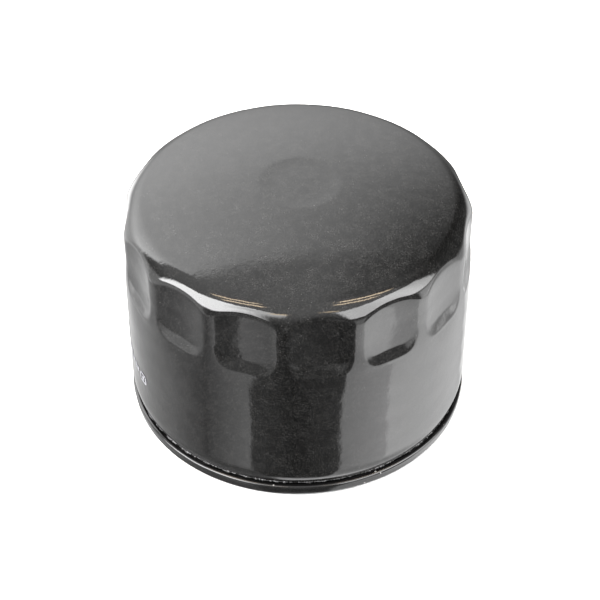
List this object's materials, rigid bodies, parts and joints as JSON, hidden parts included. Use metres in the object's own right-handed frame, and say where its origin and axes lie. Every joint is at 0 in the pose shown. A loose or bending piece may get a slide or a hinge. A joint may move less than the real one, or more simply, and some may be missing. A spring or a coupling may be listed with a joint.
{
  "type": "spin-on oil filter",
  "caption": "Short spin-on engine oil filter: fluted domed steel can, seamed lid, threaded base plate, gasket, pleated element and spring-loaded bypass valve.",
  "frame": {"origin": "on the filter's axis, at the gasket's sealing face, which is the lowest face as the filter stands dome up", "axes": "+Z along the axis from the gasket's face towards the domed end; -Y through the middle of one wrench flute"},
  "size_m": [0.0764, 0.0764, 0.0573],
  "materials": {
    "can_paint": "gloss black paint, satin on the dome",
    "lid_paint": "gloss black paint, slightly uneven over the seam",
    "seam_compound": "cured seam compound, painted over",
    "plate_steel": "stamped steel, light zinc passivation",
    "gasket_rubber": "moulded nitrile rubber, satin",
    "valve_rubber": "moulded silicone, satin",
    "tinned_steel": "bright tinplate with drawing marks",
    "potting": "cured plastisol",
    "filter_paper": "resin-impregnated creped cellulose",
    "spring_steel": "drawn music wire, lightly oiled"
  },
  "bodies": {
    "casing": {"shell": "can_paint", "seaming_lid": "lid_paint", "seam_sealant": "seam_compound", "base_plate": "plate_steel", "sealing_gasket": "gasket_rubber", "anti_drainback_valve": "valve_rubber", "element_spring": "spring_steel"},
    "element": {"lower_end_cap": "tinned_steel", "upper_end_cap": "tinned_steel", "lower_potting": "potting", "upper_potting": "potting", "pleated_media": "filter_paper", "media_seam_clip": "tinned_steel", "center_tube": "tinned_steel", "bypass_cage": "tinned_steel", "bypass_seat": "tinned_steel", "bypass_spring_seat": "tinned_steel", "bypass_spring": "spring_steel", "element_spring_seat": "tinned_steel"},
    "bypass_poppet": {"bypass_disc": "tinned_steel", "bypass_seal": "gasket_rubber", "bypass_stem": "tinned_steel"}
  },
  "joints": [
    {"name": "element_float", "type": "slide", "parent": "casing", "child": "element", "axis": [0, 0, 1], "range_m": [0, 0.0015], "stiffness_N_per_m": 4000, "springref_m": -0.006, "deforming": ["element_spring"]},
    {"name": "bypass_valve_lift", "type": "slide", "parent": "element", "child": "bypass_poppet", "axis": [0, 0, -1], "range_m": [0, 0.003], "stiffness_N_per_m": 1500, "springref_m": -0.006, "deforming": ["bypass_spring"]}
  ]
}
